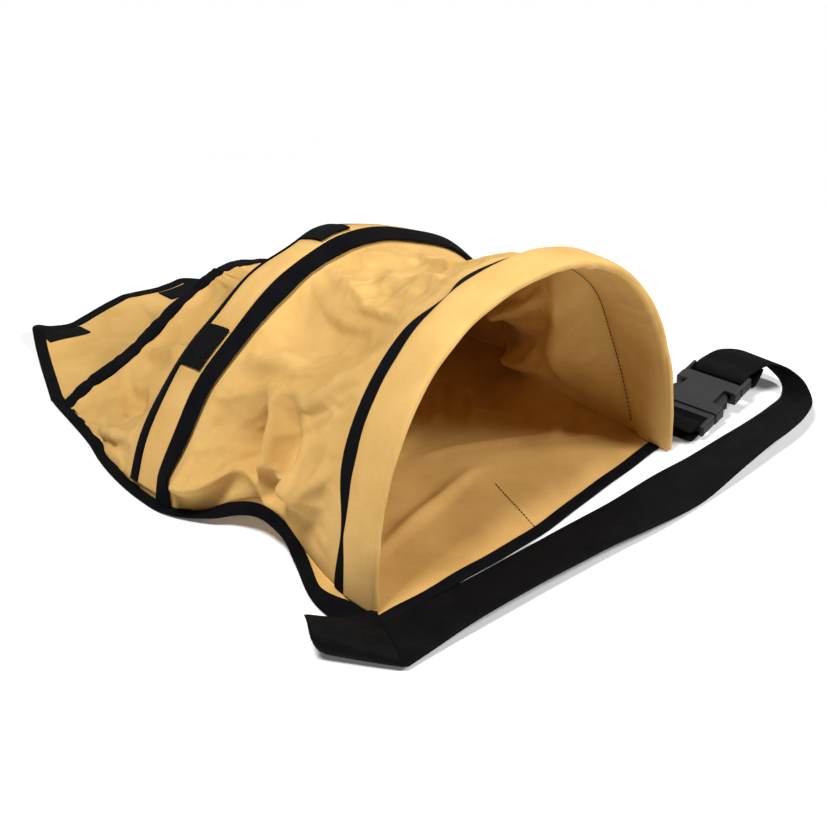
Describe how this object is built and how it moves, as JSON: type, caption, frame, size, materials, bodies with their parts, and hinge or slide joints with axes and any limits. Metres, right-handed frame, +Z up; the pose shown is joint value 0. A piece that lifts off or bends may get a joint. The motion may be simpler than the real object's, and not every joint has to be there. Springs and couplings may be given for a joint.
{
  "type": "picking waist bag",
  "caption": "Tan canvas picking bag worn at the waist: mouth held open by a hoop, chute closed by a fold-up flap, black bindings, and a webbing belt with a side-release buckle.",
  "frame": {"origin": "on the underside of the back panel, in the middle of the mouth's width, 18 mm behind the middle of the hoop's feet", "axes": "X along the mouth edge towards the buckle, Y from the mouth towards the bottom flap, Z up from the panel the bag lies on"},
  "size_m": [0.5628, 0.6191, 0.2211],
  "materials": {
    "canvas": "plain-weave tan canvas",
    "tape": "black twill tape",
    "hook_and_loop": "black hook and loop pile",
    "thread": "black thread",
    "webbing": "ribbed black webbing",
    "buckle": "black moulded plastic",
    "hoop_strip": "plain plastic strip"
  },
  "bodies": {
    "bag": {"back_panel": "canvas", "mouth_binding": "tape", "side_binding_left": "tape", "side_binding_right": "tape", "dart_stitching": "thread", "front_panel": "canvas", "chute_panel": "canvas", "chute_hem_binding": "tape", "front_cross_tape": "tape", "hoop_seam_tape": "tape", "hoop_stitching": "thread", "closure_band": "canvas", "closure_band_binding": "tape", "band_patch_left": "hook_and_loop", "band_patch_right": "hook_and_loop", "buckle_tab": "webbing", "buckle_plug": "buckle", "belt_webbing": "webbing"},
    "hoop": {"hoop_sleeve": "canvas", "hoop_core": "hoop_strip"},
    "flap": {"bottom_flap": "canvas", "flap_binding": "tape", "flap_patch_left": "hook_and_loop", "flap_patch_right": "hook_and_loop"},
    "socket": {"buckle_socket": "buckle"},
    "latch_left": {"latch_arm_left": "buckle"},
    "latch_right": {"latch_arm_right": "buckle"}
  },
  "joints": [
    {"name": "hoop_fold", "type": "hinge", "parent": "bag", "child": "hoop", "pos_m": [0, -0.018, 0.0173], "axis": [1, 0, 0], "range_deg": [-30, 5], "deforming": ["front_panel", "hoop_seam_tape", "hoop_stitching"]},
    {"name": "flap_fold", "type": "hinge", "parent": "bag", "child": "flap", "pos_m": [0, 0.388, 0.0012], "axis": [1, 0, 0], "range_deg": [0, 90]},
    {"name": "buckle_release", "type": "slide", "parent": "bag", "child": "socket", "axis": [0.9806, 0.1378, 0.1392], "range_m": [0, 0.045], "deforming": ["belt_webbing", "latch_arm_left", "latch_arm_right"]},
    {"name": "latch_left_squeeze", "type": "hinge", "parent": "bag", "child": "latch_left", "pos_m": [0.20928, 0.00296, 0.01277], "axis": [0.1378, 0.0194, -0.9903], "range_deg": [0, 12], "stiffness_Nm_per_rad": 0.2},
    {"name": "latch_right_squeeze", "type": "hinge", "parent": "bag", "child": "latch_right", "pos_m": [0.21443, -0.03368, 0.01277], "axis": [-0.1378, -0.0194, 0.9903], "range_deg": [0, 12], "stiffness_Nm_per_rad": 0.2}
  ],
  "couplings": [
    {"joint": "latch_right_squeeze", "follows": "latch_left_squeeze", "ratio": 1}
  ]
}
